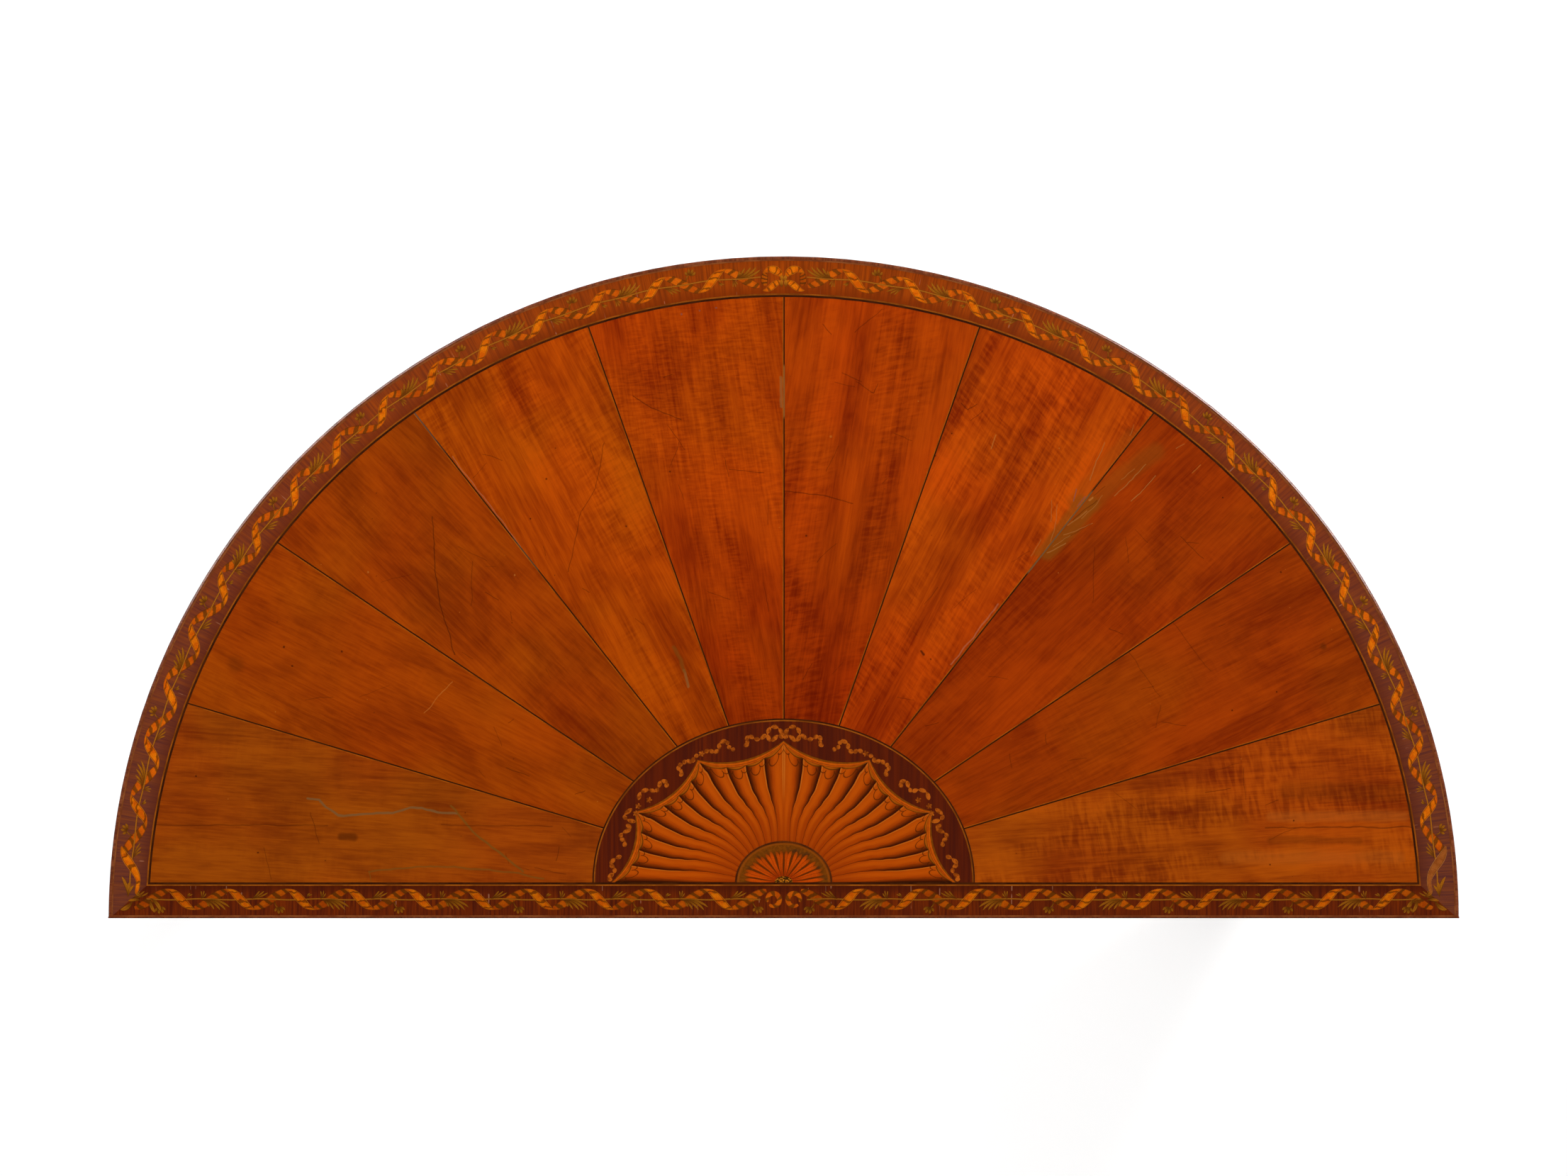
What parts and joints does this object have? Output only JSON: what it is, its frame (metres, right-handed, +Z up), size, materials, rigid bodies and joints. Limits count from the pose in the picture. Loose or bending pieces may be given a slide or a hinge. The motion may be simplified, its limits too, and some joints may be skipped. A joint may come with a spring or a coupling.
{
  "type": "demilune side table",
  "caption": "Half-elliptical side table: crossbanded veneered top with radiating panels round a fluted half patera, curved frieze, square tapered legs on spade feet.",
  "frame": {"origin": "on the floor, under the middle of the table's bounding box", "axes": "+Z up, +Y towards the straight back that stands against a wall, -Y towards the curved front"},
  "size_m": [1.22, 0.598, 0.85],
  "materials": {
    "pine": "planed, unfinished",
    "satinwood": "french polished",
    "kingwood": "french polished",
    "boxwood": "french polished",
    "ebony": "french polished",
    "shell": "sand shaded and french polished",
    "stained_green": "stained and french polished",
    "iron": "dull, dark"
  },
  "bodies": {
    "root": {"top_board_back": "pine", "top_board_middle": "pine", "top_board_front": "pine", "back_rail": "pine", "centre_brace": "pine", "glue_blocks": "pine", "frieze_course_1": "pine", "frieze_course_2": "pine", "frieze_course_3": "pine", "frieze_course_4": "pine", "satinwood_panel_01": "satinwood", "satinwood_panel_02": "satinwood", "satinwood_panel_03": "satinwood", "satinwood_panel_04": "satinwood", "satinwood_panel_05": "satinwood", "satinwood_panel_06": "satinwood", "satinwood_panel_07": "satinwood", "satinwood_panel_08": "satinwood", "satinwood_panel_09": "satinwood", "satinwood_panel_10": "satinwood", "frieze_panel_left": "satinwood", "frieze_panel_centre": "satinwood", "frieze_panel_right": "satinwood", "leg_front_left": "satinwood", "leg_front_right": "satinwood", "leg_back_left": "satinwood", "leg_back_right": "satinwood", "border_curved_left": "kingwood", "border_curved_right": "kingwood", "border_back_left": "kingwood", "border_back_right": "kingwood", "edge_lipping": "kingwood", "back_edge_strip": "kingwood", "patera_ground": "kingwood", "frieze_banding": "kingwood", "outer_box_line": "boxwood", "border_box_line": "boxwood", "ray_box_lines": "boxwood", "patera_box_arc": "boxwood", "patera_swag_line": "boxwood", "rosette_line": "boxwood", "frieze_box_lines": "boxwood", "border_ebony_line": "ebony", "ray_ebony_lines": "ebony", "patera_ebony_arc": "ebony", "patera_shell_left": "shell", "patera_shell_right": "shell", "rosette_ground": "stained_green", "top_screws": "iron"}
  },
  "joints": []
}
